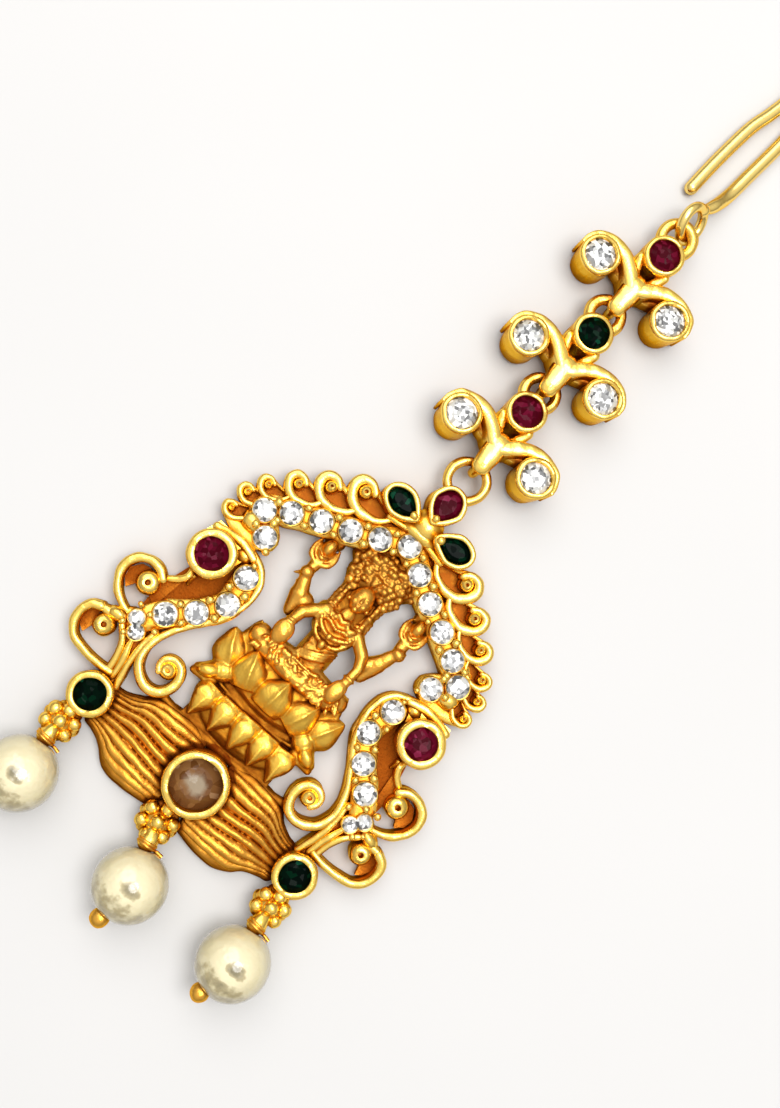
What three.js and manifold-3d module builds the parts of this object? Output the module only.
// Maang tikka: a hair jewel of gold-plated castings. A pendant with an arch, scrolls and a seated
// figure carries three pearl drops. Three stone-set links join it to a hair hook.
// Millimetres. It lies on its back: +X to the wearer's side, +Y towards the hair hook, +Z out of its face.
// Shapes are drawn from the centre collet, (0, 0), and the whole is moved at the end so that the
// origin is the middle of the base of its box.
import * as THREE from 'three';
import { mergeVertices } from 'three/addons/utils/BufferGeometryUtils.js';
import Module from 'manifold-3d';

const wasm = await Module();
wasm.setup();

// ---------- driving dimensions ----------
const PLATE = 0.7; // backing sheet behind the curls and pockets
const STRAP = { width: 0.6, top: 2.3 }; // upright strip that the scrolls are bent from
const BAND = { width: 2.5, top: 2.4 }; // strip that is paved with small stones
const GAP = 0.12; // clearance round a stone in its collet
const COLLET_WALL = 0.45;
const FACET_TOLERANCE = 0.02; // facets flatter than this are joined

const PAVED_ARCH = [ // middles of the paved seats from the apex to the end, right-hand side
  { x: 0, y: 24.5 }, { x: 2.1, y: 23.35 }, { x: 4.25, y: 22.25 }, { x: 6.45, y: 21.25 },
  { x: 8.6, y: 20.15 }, { x: 10.3, y: 18.9 }, { x: 8.8, y: 17.35 },
];
const PAVED_SIDE = [ // middles of the paved seats from the ruby collet to the foot
  { x: 7.75, y: 14.05 }, { x: 7.4, y: 11.55 }, { x: 8.75, y: 9.5 }, { x: 10.45, y: 7.85 },
  { x: 11.45, y: 6.1 },
];
const CURLS = [ // running waves outside the arch: root, direction in degrees, and size
  { x: 3.0, y: 24.2, angle: -25, size: 2.85 },
  { x: 5.2, y: 23.1, angle: -30, size: 2.75 },
  { x: 7.35, y: 22.0, angle: -33, size: 2.4 },
  { x: 9.3, y: 20.7, angle: -43, size: 1.85 },
  { x: 10.6, y: 19.4, angle: -50, size: 1.6 },
  { x: 11.2, y: 17.9, angle: -60, size: 1.4 },
];
const CENTRE_COLLET = { x: 0, y: 0, stone: 2.0, wall: 0.6, top: 4.3, seat: 2.0 };
const RUBY_COLLET = { x: 10.95, y: 13.65, stone: 1.3, wall: COLLET_WALL, top: 3.4, seat: 2.2 };
const END_COLLET = { x: 10.5, y: -0.35, stone: 1.25, wall: COLLET_WALL, top: 2.9, seat: 1.8 };
const PEAR_CUPS = [ // trefoil at the apex; turn is the way the point faces, in degrees
  { name: 'pear_emerald_left', x: -2.78, y: 26.55, turn: -8, green: true },
  { name: 'pear_emerald_right', x: 2.78, y: 26.55, turn: 188, green: true },
  { name: 'pear_ruby', x: 0, y: 28.75, turn: -90, green: false },
];
const PEAR = { length: 2.5, width: 1.75, wall: 0.5, top: 3.2, seat: 2.0 };

const SPINDLE = { y: -0.4, ribs: 9, grooveShare: 0.08, edge: 0.3 };
const SPINDLE_SECTIONS = [ // half height across and crown above the back, along the spindle
  { x: 1.9, half: 2.9, crown: 2.5 }, { x: 3.1, half: 3.5, crown: 2.85 },
  { x: 4.5, half: 3.65, crown: 3.0 }, { x: 6.0, half: 3.4, crown: 2.8 },
  { x: 7.5, half: 2.75, crown: 2.3 }, { x: 8.6, half: 2.0, crown: 1.8 },
  { x: 9.6, half: 1.3, crown: 1.5 },
];

// Granulated cap, the end of its neck, the lean of the pearl pin in degrees, and how far the
// pearl's middle stands to the side of its pin, as its hole isn't drilled through its middle.
const DROPS = [
  { side: 'left', capX: -10.75, capY: -3.4, neckX: -10.75, neckY: -4.3, lean: 2, aside: 0.25 },
  { side: 'centre', capX: -0.15, capY: -4.2, neckX: 0.25, neckY: -5.25, lean: 9.5, aside: 0.6 },
  { side: 'right', capX: 10.75, capY: -3.4, neckX: 10.8, neckY: -4.45, lean: 0, aside: 0.5 },
];
const DROP = { neckZ: 2.5, rise: 8, capZ: 2.2, granule: 0.6, ring: 1.05, neckEnd: 0.75, slack: 0.12 };
const PEARL = { radius: 2.95, hole: 0.45 };
const PIN = { wire: 0.3, ball: 0.8, socket: 0.9, sunk: 0.1 };
// Pearl's middle and the pin's ball, measured along the pin from the neck.
const PEARL_AT = DROP.neckEnd + DROP.slack + PEARL.radius;
const BALL_AT = PEARL_AT + PEARL.radius + PIN.ball - PIN.sunk;

const RING = { radius: 1.35, wire: 0.4 }; // soldered rings that the links hang on
const APEX_RING = { x: -0.1, y: 31.5, z: 2.0, radius: 1.6 };
const LINKS = [ // place of each link's centre stone, turn about Z and pitch about X in degrees
  { name: 'link_lower', x: -0.4, y: 38.15, z: 0.18, turn: 2, pitch: -5, green: false },
  { name: 'link_middle', x: -0.7, y: 46.65, z: 0.12, turn: 3, pitch: -3, green: true },
  { name: 'link_upper', x: -0.65, y: 55.6, z: 0, turn: 0, pitch: 0, green: false },
];
const LINK = {
  top: 3.8, sideX: 3.87, sideY: -3.6, stone: 1.28, seat: 2.6,
  ribTop: 3.5, ribWidth: 1.05, footY: -3.9, diveY: -5.95, stemZ: 2.6, ringY: 2.4, ringZ: 2.0,
};
const HOOK = {
  wire: 0.58, lie: 0.62, eye: 1.45, eyeWire: 0.32, eyeX: -0.65, eyeY: 59.9, eyeZ: 1.95, eyeRoll: 53,
};

const FIGURE_BACK = 0.5; // the figure's casting stands this far clear of the back

// ---------- materials ----------
const polishedGold = new THREE.MeshStandardMaterial({ color: 0xe8b62a, roughness: 0.25, metalness: 1 });
const ruby = new THREE.MeshStandardMaterial({ color: 0x7a1038, roughness: 0.1, metalness: 0 });
const emerald = new THREE.MeshStandardMaterial({ color: 0x07301c, roughness: 0.1, metalness: 0 });
const crystal = new THREE.MeshStandardMaterial({ color: 0xf2f2f4, roughness: 0.05, metalness: 0 });
const pearlWhite = new THREE.MeshStandardMaterial({ color: 0xf1e9d2, roughness: 0.25, metalness: 0 });

// ---------- making closed solids ----------
const radians = THREE.MathUtils.degToRad;

// The signed volume is positive where a closed mesh's faces point outwards.
function signedVolume(points, index) {
  let total = 0;
  const corner = (k) => new THREE.Vector3().fromArray(points, index[k] * 3);
  for (let k = 0; k < index.length; k += 3) {
    total += corner(k).dot(corner(k + 1).cross(corner(k + 2)));
  }
  return total / 6;
}

// Merges a closed geometry's shared corners and turns it into a solid that can be joined and cut.
function solid(geometry) {
  const bare = new THREE.BufferGeometry();
  bare.setAttribute('position', geometry.getAttribute('position').clone());
  if (geometry.index) bare.setIndex(geometry.index.clone());
  const merged = mergeVertices(bare, 1e-4);
  const points = new Float32Array(merged.getAttribute('position').array);
  const kept = [];
  const all = merged.index.array;
  for (let k = 0; k < all.length; k += 3) {
    const [a, b, c] = [all[k], all[k + 1], all[k + 2]];
    if (a !== b && b !== c && c !== a) kept.push(a, b, c);
  }
  if (signedVolume(points, kept) < 0) kept.reverse();
  return new wasm.Manifold(new wasm.Mesh({
    numProp: 3, vertProperties: points, triVerts: new Uint32Array(kept),
  }));
}

function union(solids) {
  return solids.reduce((whole, next) => whole.add(next));
}

function cutAll(body, tools) {
  return tools.reduce((left, tool) => left.subtract(tool), body);
}

// The largest body alone: joining faceted solids can leave specks with no volume beside it.
function withoutSpecks(body) {
  return body.decompose().reduce((largest, next) => (next.volume() > largest.volume() ? next : largest));
}

function toMesh(name, joined, material) {
  const body = withoutSpecks(joined.simplify(FACET_TOLERANCE));
  const { vertProperties, triVerts } = body.getMesh();
  const geometry = new THREE.BufferGeometry();
  geometry.setAttribute('position', new THREE.BufferAttribute(vertProperties, 3));
  geometry.setIndex(new THREE.BufferAttribute(triVerts, 1));
  geometry.computeVertexNormals();
  const mesh = new THREE.Mesh(geometry, material);
  mesh.name = name;
  return mesh;
}

// ---------- shapes ----------
// A post along Z, narrower or wider at its foot than at its top.
function post(x, y, bottom, top, rTop, rBottom = rTop, sides = 12) {
  const geometry = new THREE.CylinderGeometry(rTop, rBottom, top - bottom, sides);
  geometry.rotateX(Math.PI / 2);
  geometry.translate(x, y, (top + bottom) / 2);
  return solid(geometry);
}

function ball(x, y, z, rx, ry = rx, rz = rx, around = 7, up = 4) {
  const geometry = new THREE.SphereGeometry(1, around, up);
  geometry.rotateX(Math.PI / 2);
  geometry.scale(rx, ry, rz);
  geometry.translate(x, y, z);
  return solid(geometry);
}

function box(x0, x1, y0, y1, z0, z1) {
  const geometry = new THREE.BoxGeometry(x1 - x0, y1 - y0, z1 - z0);
  geometry.translate((x0 + x1) / 2, (y0 + y1) / 2, (z0 + z1) / 2);
  return solid(geometry);
}

// An upright slab on an outline of [x, y] corners.
function slab(corners, bottom, top) {
  const outline = new THREE.Shape(corners.map(([x, y]) => new THREE.Vector2(x, y)));
  const geometry = new THREE.ExtrudeGeometry(outline, { depth: top - bottom, bevelEnabled: false });
  geometry.translate(0, 0, bottom);
  return solid(geometry);
}

// An upright strip that follows a smooth curve through [x, y] points; its width can change evenly.
function strip(through, width, bottom, top, steps = 8, endWidth = width) {
  const curve = new THREE.SplineCurve(through.map(([x, y]) => new THREE.Vector2(x, y)));
  const left = [];
  const right = [];
  for (let i = 0; i <= steps; i += 1) {
    const t = i / steps;
    const p = curve.getPoint(t);
    const along = curve.getTangent(t);
    const half = (width + (endWidth - width) * t) / 2;
    left.push([p.x - along.y * half, p.y + along.x * half]);
    right.unshift([p.x + along.y * half, p.y - along.x * half]);
  }
  return slab([...left, ...right], bottom, top);
}

// A round wire along a smooth curve through [x, y, z] points.
function wire(through, radius, steps, halfSides = 3) {
  const curve = new THREE.CatmullRomCurve3(through.map((p) => new THREE.Vector3(...p)));
  const section = new THREE.Shape();
  section.absarc(0, 0, radius, 0, Math.PI * 2);
  return solid(new THREE.ExtrudeGeometry(section, {
    steps, extrudePath: curve, bevelEnabled: false, curveSegments: halfSides,
  }));
}

function ring(x, y, z, radius, wireRadius, roll = 0) {
  const geometry = new THREE.TorusGeometry(radius, wireRadius, 6, 14);
  geometry.rotateY(radians(roll));
  geometry.translate(x, y, z);
  return solid(geometry);
}

// A limb with round ends, from one point to another.
function limb(from, to, rFrom, rTo, sides = 6) {
  const start = new THREE.Vector3(...from);
  const along = new THREE.Vector3(...to).sub(start);
  const length = along.length();
  const profile = [new THREE.Vector2(0, -rFrom * 0.85), new THREE.Vector2(rFrom, -rFrom * 0.15),
    new THREE.Vector2(rTo, length + rTo * 0.15), new THREE.Vector2(0, length + rTo * 0.85)];
  const geometry = new THREE.LatheGeometry(profile, sides);
  const turn = new THREE.Quaternion().setFromUnitVectors(new THREE.Vector3(0, 1, 0), along.normalize());
  geometry.applyQuaternion(turn);
  geometry.translate(...from);
  return solid(geometry);
}

// A closed skin through rings of equally many points, with flat ends.
function loft(rings) {
  const count = rings[0].length;
  const points = rings.flat(2);
  const index = [];
  for (let r = 0; r + 1 < rings.length; r += 1) {
    for (let i = 0; i < count; i += 1) {
      const a = r * count + i;
      const b = r * count + ((i + 1) % count);
      index.push(a, b, b + count, a, b + count, a + count);
    }
  }
  const last = (rings.length - 1) * count;
  for (let i = 1; i + 1 < count; i += 1) {
    index.push(0, i + 1, i, last, last + i, last + i + 1);
  }
  const geometry = new THREE.BufferGeometry();
  geometry.setAttribute('position', new THREE.Float32BufferAttribute(points, 3));
  geometry.setIndex(index);
  return solid(geometry);
}

function mirrored(body) {
  const geometry = new THREE.BufferGeometry();
  const { vertProperties, triVerts } = body.getMesh();
  geometry.setAttribute('position', new THREE.BufferAttribute(vertProperties.slice(), 3));
  geometry.setIndex(new THREE.BufferAttribute(triVerts.slice(), 1));
  geometry.scale(-1, 1, 1);
  return solid(geometry);
}

// ---------- stones ----------
// A round brilliant: flat table, sloping crown, and a pavilion that stops short of the seat.
function brilliant(x, y, seat, radius, sides = 10) {
  const r = radius - GAP;
  const girdle = seat + 0.75 * radius;
  const profile = [
    [0, seat + 0.15], [r * 0.35, seat + 0.15], [r, girdle - 0.1], [r, girdle + 0.05],
    [r * 0.58, girdle + 0.3 * radius], [0, girdle + 0.3 * radius],
  ].map(([px, py]) => new THREE.Vector2(px, py));
  const geometry = new THREE.LatheGeometry(profile, sides);
  geometry.rotateX(Math.PI / 2);
  geometry.translate(x, y, 0);
  return solid(geometry);
}

// A pear outline about the middle of its length, with its point along the turned direction.
function pearOutline(x, y, turn, length, width, grow) {
  const half = width / 2 + grow;
  const roundAt = -(length / 2 - width / 2);
  const tip = length / 2 + grow * 1.25;
  const corners = [];
  for (let degrees = 70; degrees <= 290; degrees += 22) {
    const a = radians(degrees);
    corners.push([roundAt + half * Math.cos(a), half * Math.sin(a)]);
  }
  corners.push([tip * 0.55, -half * 0.52], [tip, -0.08], [tip, 0.08], [tip * 0.55, half * 0.52]);
  const c = Math.cos(radians(turn));
  const s = Math.sin(radians(turn));
  return corners.map(([px, py]) => [x + px * c - py * s, y + px * s + py * c]);
}

function pearStone(cup) {
  const girdle = slab(pearOutline(cup.x, cup.y, cup.turn, PEAR.length, PEAR.width, -GAP),
    PEAR.seat + 0.1, PEAR.top - 0.1);
  const table = slab(pearOutline(cup.x, cup.y, cup.turn, PEAR.length, PEAR.width, -0.4),
    PEAR.seat + 0.5, PEAR.top + 0.2);
  return girdle.add(table);
}

// ---------- parts of the pendant casting ----------
function colletWall(c) {
  return post(c.x, c.y, 0, c.top, c.stone + c.wall, c.stone + c.wall * 0.75, 16);
}

function colletSeat(c) {
  return post(c.x, c.y, c.seat, c.top + 1, c.stone, c.stone, 16);
}

// A chain of round seats joined by straight strips.
function pavedBand(seats) {
  const pieces = seats.map((s) => post(s.x, s.y, 0, BAND.top, BAND.width / 2, BAND.width / 2, 8));
  for (let i = 0; i + 1 < seats.length; i += 1) {
    const a = seats[i];
    const b = seats[i + 1];
    pieces.push(strip([[a.x, a.y], [b.x, b.y]], BAND.width * 0.9, 0, BAND.top, 1));
  }
  return union(pieces);
}

// One running wave: a strip that leaves the arch, swells outwards and rolls back to a small bead.
function archCurl({ x, y, angle, size }) {
  const unit = [[0, 0], [0.3, -0.04], [0.56, 0.04], [0.86, 0.36], [0.94, 0.72], [0.78, 0.93], [0.6, 0.8]];
  const c = Math.cos(radians(angle)) * size;
  const s = Math.sin(radians(angle)) * size;
  const placed = unit.map(([u, v]) => [x + u * c - v * s, y + u * s + v * c]);
  const [eyeX, eyeY] = [x + 0.66 * c - 0.66 * s, y + 0.66 * s + 0.66 * c];
  return union([
    strip(placed, STRAP.width * 0.8, 0, STRAP.top, 7, STRAP.width * 0.9),
    post(eyeX, eyeY, 0, STRAP.top + 0.1, 0.17 * size, 0.2 * size, 6),
  ]);
}

function archSide() {
  const backing = slab([[0, 24.2], [0, 26.2], [4.2, 26.2], [5.9, 25.9], [8.2, 24.3], [10.0, 22.6],
    [11.3, 20.9], [12.2, 19.2], [12.3, 17.6], [11.6, 16.3], [9.2, 16.6], [8.5, 19.8], [4, 22]], 0, PLATE);
  const endTab = slab([[8.9, 17.3], [8.8, 15.2], [12.0, 15.2], [12.0, 17.2], [10.4, 18.4]], 0, 2.0);
  return union([backing, endTab, pavedBand(PAVED_ARCH), ...CURLS.map(archCurl)]);
}

// The paved side strip, its inner strap that ends in a volute, and the two open scrolls outside it.
function sideScrolls() {
  const pocket = slab([[8.6, 15.6], [12.4, 12.6], [11.3, 11.7], [11.7, 10.3], [12.5, 8.2],
    [12.9, 6.6], [12.2, 5.0], [10.4, 5.2], [9.6, 6.6], [6.8, 11.4], [6.8, 14.2]], 0, PLATE);
  const pocketWall = strip([[12.3, 12.6], [11.35, 11.6], [11.5, 10.8], [12.3, 9.9]], 0.5, 0, 2.0, 5);
  const innerStrap = strip([[8.9, 15.7], [7.6, 15.3], [6.7, 14.4], [6.35, 13.1], [6.5, 11.6],
    [7.15, 10.1], [8.2, 8.6], [9.15, 7.2], [9.65, 5.8], [9.7, 4.4], [9.1, 3.3], [7.95, 2.7],
    [6.85, 2.95], [6.25, 3.8], [6.2, 4.75], [6.75, 5.5], [7.5, 5.65], [8.05, 5.3], [8.1, 4.7]],
  0.55, 0, STRAP.top, 24);
  const volute = post(7.4, 4.6, 0, 2.3, 0.6, 0.6, 8);
  const upperScroll = strip([[12.2, 5.8], [13.5, 6.25], [14.6, 6.9], [15.3, 8.0], [15.15, 9.2],
    [14.3, 10.0], [13.2, 10.1], [12.5, 9.5]], 0.85, 0, 2.1, 9, 0.6);
  const lowerScroll = strip([[10.6, 1.8], [12.4, 1.6], [14.1, 1.75], [15.2, 2.5], [15.45, 3.6],
    [15.0, 4.6], [14.1, 5.0], [13.1, 5.3], [12.6, 6.0]], 0.75, 0, 2.0, 10, 0.8);
  const eyes = [post(13.15, 8.75, 0, 2.3, 0.8, 0.8, 8), post(13.45, 4.15, 0, 2.2, 0.75, 0.75, 8)];
  const stem = slab([[10.1, 5.6], [12.4, 4.9], [11.2, 3.0], [11.0, 1.0], [9.5, 1.0], [10.05, 3.0]], 0, 2.0);
  return union([pocket, pocketWall, innerStrap, volute, upperScroll, lowerScroll, ...eyes, stem,
    pavedBand(PAVED_SIDE)]);
}

// A half-round bolster with rounded ribs along it, narrow at the outer end.
function spindle() {
  const perRib = 2;
  const count = SPINDLE.ribs * perRib;
  const rings = SPINDLE_SECTIONS.map(({ x, half, crown }) => {
    const section = [];
    for (let i = 0; i <= count; i += 1) {
      const a = Math.PI * (i / count);
      const share = i % perRib === 0 ? 1 - SPINDLE.grooveShare : 1;
      section.push([x, SPINDLE.y + half * share * Math.cos(a),
        SPINDLE.edge + (crown - SPINDLE.edge) * share * Math.sin(a)]);
    }
    section.push([x, SPINDLE.y - half, 0], [x, SPINDLE.y + half, 0]);
    return section;
  });
  return loft(rings);
}

// A round flower of small grains on a short bell neck that holds the pearl pin.
function flowerCap({ capX, capY, neckX, neckY }) {
  const grains = [ball(capX, capY, DROP.capZ, 0.9, 0.9, 1.0, 6, 4)];
  for (let i = 0; i < 6; i += 1) {
    const a = radians(30 + i * 60);
    grains.push(ball(capX + DROP.ring * Math.cos(a), capY + DROP.ring * Math.sin(a), DROP.capZ,
      DROP.granule, DROP.granule, DROP.granule * 1.1, 6, 4));
  }
  const joint = post(capX, (capY + 1.3), 0.6, 2.0, 0.9, 0.9, 8);
  const neck = limb([capX, capY - 0.8, DROP.capZ], [neckX, neckY, DROP.neckZ], 0.6, 0.75);
  return union([...grains, joint, neck]);
}

function lotus() {
  const pieces = [
    ball(0, 9.0, 0.6, 4.4, 2.6, 2.2, 10, 4), ball(0, 6.7, 0.6, 4.0, 1.1, 1.9, 8, 4),
    ball(0, 4.8, 0.5, 4.4, 2.0, 1.9, 10, 4),
  ];
  for (const x of [-5.0, -2.7, 0, 2.7, 5.0]) {
    const spread = x * 0.13;
    pieces.push(limb([x * 0.85, 8.2, 2.1 - Math.abs(x) * 0.2], [x + spread, 10.3, 2.3 - Math.abs(x) * 0.16],
      1.35, 0.5));
  }
  for (const x of [-4.2, 4.2]) pieces.push(limb([x * 0.9, 9.5, 1.2], [x * 1.08, 12.0, 1.3], 1.2, 0.5));
  for (const x of [-3.8, -1.9, 0, 1.9, 3.8]) {
    const out = Math.abs(x);
    pieces.push(limb([x * 0.95, 5.6, 1.9 - out * 0.12], [x, 3.7, 1.5 - out * 0.1], 1.0, 0.45));
  }
  for (const side of [-1, 1]) {
    pieces.push(limb([side * 4.0, 7.4, 1.0], [side * 5.6, 6.4, 0.9], 0.9, 0.6));
    pieces.push(limb([side * 5.6, 6.4, 0.9], [side * 6.2, 5.6, 0.9], 0.5, 0.5, 5));
  }
  return union(pieces);
}

// The seated figure: crowned head, garlanded chest, folded legs, two low hands and two that hold buds.
function seatedFigure() {
  const body = [
    ball(0, 20.5, 1.2, 2.5, 2.3, 1.5, 8, 4), limb([0, 18.3, 1.2], [0, 17.3, 1.2], 1.55, 1.45, 6),
    ball(0, 18.8, 2.4, 0.85, 1.1, 0.9), limb([0, 16.2, 1.5], [0, 15.2, 1.6], 1.75, 1.7, 8),
    limb([0, 14.4, 1.5], [0, 12.4, 1.6], 1.15, 1.6, 6),
    limb([-3.0, 11.3, 1.9], [3.0, 11.3, 1.9], 1.0, 1.0),
    ball(0, 22.6, 1.0, 2.6, 1.3, 1.3, 8, 4),
  ];
  const arms = [
    limb([-1.7, 16.1, 1.9], [-3.0, 14.7, 2.2], 0.6, 0.5),
    limb([-3.0, 14.7, 2.2], [-2.9, 13.0, 2.8], 0.5, 0.75),
    limb([1.7, 16.1, 1.9], [3.4, 15.1, 2.2], 0.6, 0.5),
    limb([3.4, 15.1, 2.2], [3.3, 12.2, 2.8], 0.45, 0.75),
  ];
  for (const side of [-1, 1]) {
    arms.push(limb([side * 1.9, 15.5, 1.2], [side * 3.9, 14.4, 1.3], 0.6, 0.6));
    arms.push(limb([side * 3.9, 14.4, 1.3], [side * 4.85, 17.4, 1.5], 0.6, 0.6));
    arms.push(limb([side * 4.85, 17.4, 1.5], [side * 4.75, 19.8, 1.6], 0.6, 0.95));
    arms.push(limb([side * 4.75, 19.8, 1.6], [side * 4.9, 21.4, 1.3], 0.8, 0.6));
  }
  return union([...body, ...arms]);
}

function pearCup(cup) {
  return slab(pearOutline(cup.x, cup.y, cup.turn, PEAR.length, PEAR.width, PEAR.wall), 0, PEAR.top);
}

function pearSeat(cup) {
  return slab(pearOutline(cup.x, cup.y, cup.turn, PEAR.length, PEAR.width, 0), PEAR.seat, PEAR.top + 1);
}

// Unit direction of a drop's pin, from the neck out through its pearl.
function dropAxis({ lean }) {
  const flat = Math.cos(radians(DROP.rise));
  return new THREE.Vector3(Math.sin(radians(lean)) * flat, -Math.cos(radians(lean)) * flat,
    Math.sin(radians(DROP.rise)));
}

function alongDrop(drop, distance) {
  const neck = new THREE.Vector3(drop.neckX, drop.neckY, DROP.neckZ);
  return neck.addScaledVector(dropAxis(drop), distance).toArray();
}

function rod(from, to, radius, sides = 8) {
  const start = new THREE.Vector3(...from);
  const along = new THREE.Vector3(...to).sub(start);
  const geometry = new THREE.CylinderGeometry(radius, radius, along.length(), sides);
  geometry.translate(0, along.length() / 2, 0);
  geometry.applyQuaternion(new THREE.Quaternion()
    .setFromUnitVectors(new THREE.Vector3(0, 1, 0), along.normalize()));
  geometry.translate(...from);
  return solid(geometry);
}

function pendantCasting() {
  const side = union([archSide(), sideScrolls(), colletWall(RUBY_COLLET), colletWall(END_COLLET), spindle()]);
  const apexJoint = slab([[-2.6, 24.6], [2.6, 24.6], [2.2, 27.2], [0.9, 28.4], [-0.9, 28.4], [-2.2, 27.2]],
    0, 2.6);
  const ringFoot = slab([[-0.9, 29.2], [0.9, 29.2], [0.9, 30.0], [-0.9, 30.0]], 1.6, 2.4);
  const figure = union([lotus(), seatedFigure()])
    .intersect(box(-8, 8, 1, 24, FIGURE_BACK, 5));
  const bottomTie = box(-4.2, 4.2, 2.2, 5.0, 0, 1.2);
  const apexRing = ring(APEX_RING.x, APEX_RING.y, APEX_RING.z, APEX_RING.radius, RING.wire);
  const metal = union([side, mirrored(side), colletWall(CENTRE_COLLET), apexJoint, ringFoot, apexRing,
    figure, bottomTie, ...PEAR_CUPS.map(pearCup), ...DROPS.map(flowerCap)]);
  const leftOf = (c) => ({ ...c, x: -c.x });
  const seats = [RUBY_COLLET, END_COLLET].flatMap((c) => [colletSeat(c), colletSeat(leftOf(c))]);
  const sockets = DROPS.map((d) => rod(alongDrop(d, -PIN.socket - 0.1), alongDrop(d, DROP.neckEnd + 0.5),
    PIN.wire + 0.15));
  return cutAll(metal, [...seats, colletSeat(CENTRE_COLLET), ...PEAR_CUPS.map(pearSeat), ...sockets])
    .intersect(box(-20, 20, -10, 40, 0, 10));
}

// ---------- drops ----------
function pearl(drop) {
  const [onPinX, onPinY, z] = alongDrop(drop, PEARL_AT);
  const x = onPinX + drop.aside * Math.cos(radians(drop.lean));
  const y = onPinY + drop.aside * Math.sin(radians(drop.lean));
  const body = ball(x, y, z, PEARL.radius, PEARL.radius, PEARL.radius, 16, 10);
  const reach = PEARL.radius + 1;
  return body.subtract(rod(alongDrop(drop, PEARL_AT - reach), alongDrop(drop, PEARL_AT + reach), PEARL.hole));
}

// A headed pin: ball end, shaft through the pearl into the neck.
function headPin(drop) {
  const [x, y, z] = alongDrop(drop, BALL_AT);
  return ball(x, y, z, PIN.ball, PIN.ball, PIN.ball, 10, 6)
    .add(rod(alongDrop(drop, -PIN.socket), alongDrop(drop, BALL_AT), PIN.wire, 6));
}

// ---------- links ----------
function linkCup(x, y) {
  const wide = LINK.stone + COLLET_WALL;
  return post(x, y, 0, LINK.top, wide, wide * 0.9, 12);
}

// A forked casting: a cup over the fork, a cup at each arm's end, a stem that hooks through the ring
// of its neighbour, and a ring of its own behind the upper cup.
function linkCasting() {
  const cups = [linkCup(0, 0), linkCup(LINK.sideX, LINK.sideY), linkCup(-LINK.sideX, LINK.sideY)];
  const arm = [[0, LINK.footY + 0.1], [0.7, -3.3], [1.5, -2.6], [2.6, -1.95], [3.9, -1.75], [5.1, -2.3],
    [5.65, -3.4]];
  const arms = [1, -1].map((side) => strip(arm.map(([x, y]) => [x * side, y]),
    LINK.ribWidth, 0.4, LINK.ribTop, 6, 0.5));
  const stem = strip([[0, -3.2], [0, LINK.diveY + 0.3]], LINK.ribWidth * 0.9, LINK.stemZ, LINK.ribTop, 1);
  const neck = [1, -1].map((side) => strip([[side * 0.8, -1.0], [side * 1.35, -2.6]], 0.9, 0.6, 2.6, 1));
  const dive = LINK.diveY;
  const hook = wire([[0, dive + 0.7, 3.05], [0, dive + 0.25, 2.95], [0, dive, 2.3], [0, dive, 1.2],
    [0, dive + 0.3, 0.5], [0, dive + 0.9, 0.36], [0, LINK.footY - 0.3, 0.38],
    [0, LINK.footY + 0.4, 0.7]], 0.34, 10);
  const foot = strip([[0, -3.2], [0, LINK.footY]], LINK.ribWidth, 0.4, LINK.ribTop, 1);
  const backRing = ring(0, LINK.ringY, LINK.ringZ, RING.radius, RING.wire);
  const metal = union([...cups, ...arms, stem, ...neck, hook, foot, backRing]);
  const stones = [[0, 0], [LINK.sideX, LINK.sideY], [-LINK.sideX, LINK.sideY]];
  return cutAll(metal, stones.map(([x, y]) => post(x, y, LINK.seat, LINK.top + 1, LINK.stone)));
}

function linkGroup({ name, x, y, z, turn, pitch, green }) {
  const group = new THREE.Group();
  group.add(toMesh(name, linkCasting(), polishedGold));
  const stone = (suffix, sx, sy, material) => {
    group.add(toMesh(`${name}_${suffix}`, brilliant(sx, sy, LINK.seat, LINK.stone), material));
  };
  stone('centre_stone', 0, 0, green ? emerald : ruby);
  stone('left_stone', -LINK.sideX, LINK.sideY, crystal);
  stone('right_stone', LINK.sideX, LINK.sideY, crystal);
  group.position.set(x, y, z);
  group.rotation.set(radians(pitch), 0, radians(turn));
  return group;
}

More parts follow.
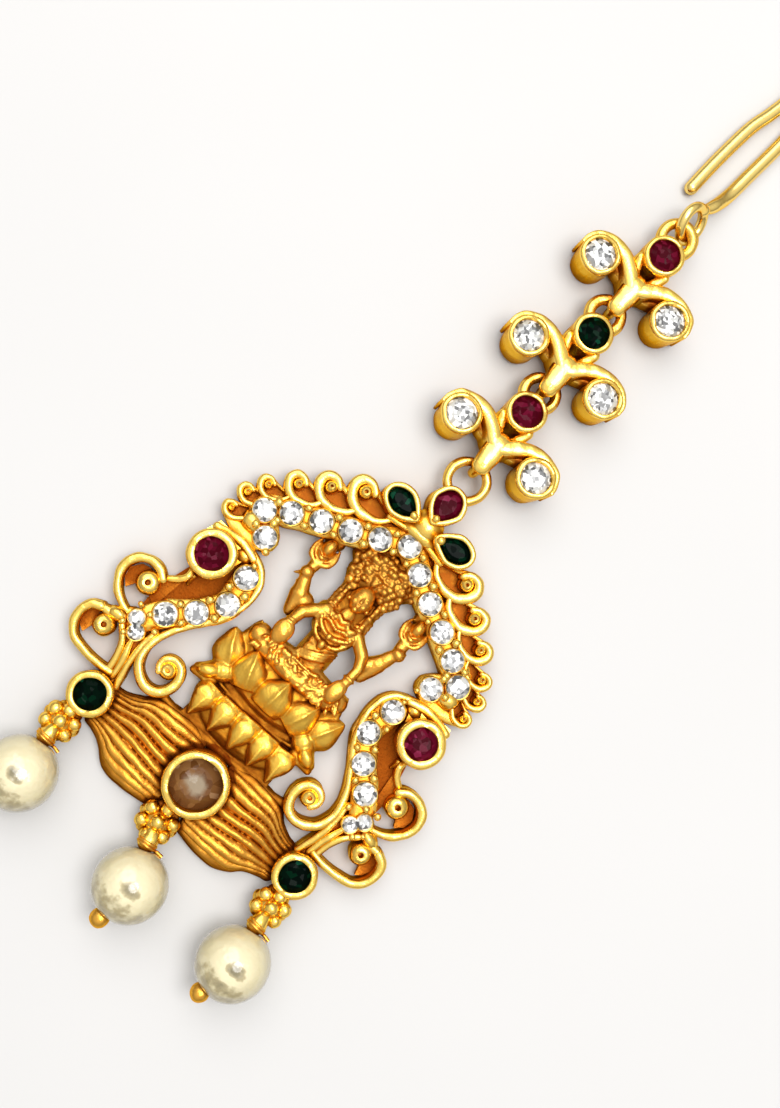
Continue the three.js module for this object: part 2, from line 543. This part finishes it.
// ---------- hair hook ----------
// A bent wire: an eye through the upper link's ring, a long shaft, and a free arm beside it.
function hairHook() {
  const eye = ring(HOOK.eyeX, HOOK.eyeY, HOOK.eyeZ, HOOK.eye, HOOK.eyeWire, HOOK.eyeRoll);
  const route = [
    [-0.55, 61.7, HOOK.eyeZ - 0.1], [-0.2, 62.6, 1.5], [0.15, 64.4, 0.75], [0.3, 67, HOOK.lie],
    [0.5, 71, HOOK.lie], [0.45, 74.5, HOOK.lie], [0.1, 76.6, HOOK.lie], [-0.75, 77.3, HOOK.lie],
    [-1.4, 76.4, HOOK.lie], [-1.5, 74.6, HOOK.lie], [-1.85, 72.2, HOOK.lie], [-2.3, 70, HOOK.lie],
    [-2.55, 66, HOOK.lie], [-2.6, 62.2, HOOK.lie],
  ];
  return union([eye, wire(route, HOOK.wire, 26, 4), ball(-2.6, 62.2, HOOK.lie, HOOK.wire * 1.05)]);
}

// ---------- assembly ----------
const tikka = new THREE.Group();
tikka.add(toMesh('pendant_casting', pendantCasting(), polishedGold));
for (const [suffix, side] of [['left', -1], ['right', 1]]) {
  tikka.add(toMesh(`ruby_${suffix}`,
    brilliant(RUBY_COLLET.x * side, RUBY_COLLET.y, RUBY_COLLET.seat, RUBY_COLLET.stone), ruby));
  tikka.add(toMesh(`emerald_${suffix}`,
    brilliant(END_COLLET.x * side, END_COLLET.y, END_COLLET.seat, END_COLLET.stone), emerald));
}
tikka.add(toMesh('centre_stone', brilliant(0, 0, CENTRE_COLLET.seat, CENTRE_COLLET.stone, 16), crystal));
for (const cup of PEAR_CUPS) tikka.add(toMesh(cup.name, pearStone(cup), cup.green ? emerald : ruby));
for (const drop of DROPS) {
  tikka.add(toMesh(`pearl_${drop.side}`, pearl(drop), pearlWhite));
  tikka.add(toMesh(`pearl_pin_${drop.side}`, headPin(drop), polishedGold));
}
for (const link of LINKS) tikka.add(linkGroup(link));
tikka.add(toMesh('hair_hook', hairHook(), polishedGold));

// The origin goes to the middle of the base of the whole box.
tikka.updateMatrixWorld(true);
const whole = new THREE.Box3().setFromObject(tikka, true);
const middle = whole.getCenter(new THREE.Vector3());
tikka.position.set(-middle.x, -middle.y, -whole.min.z);

export default tikka;
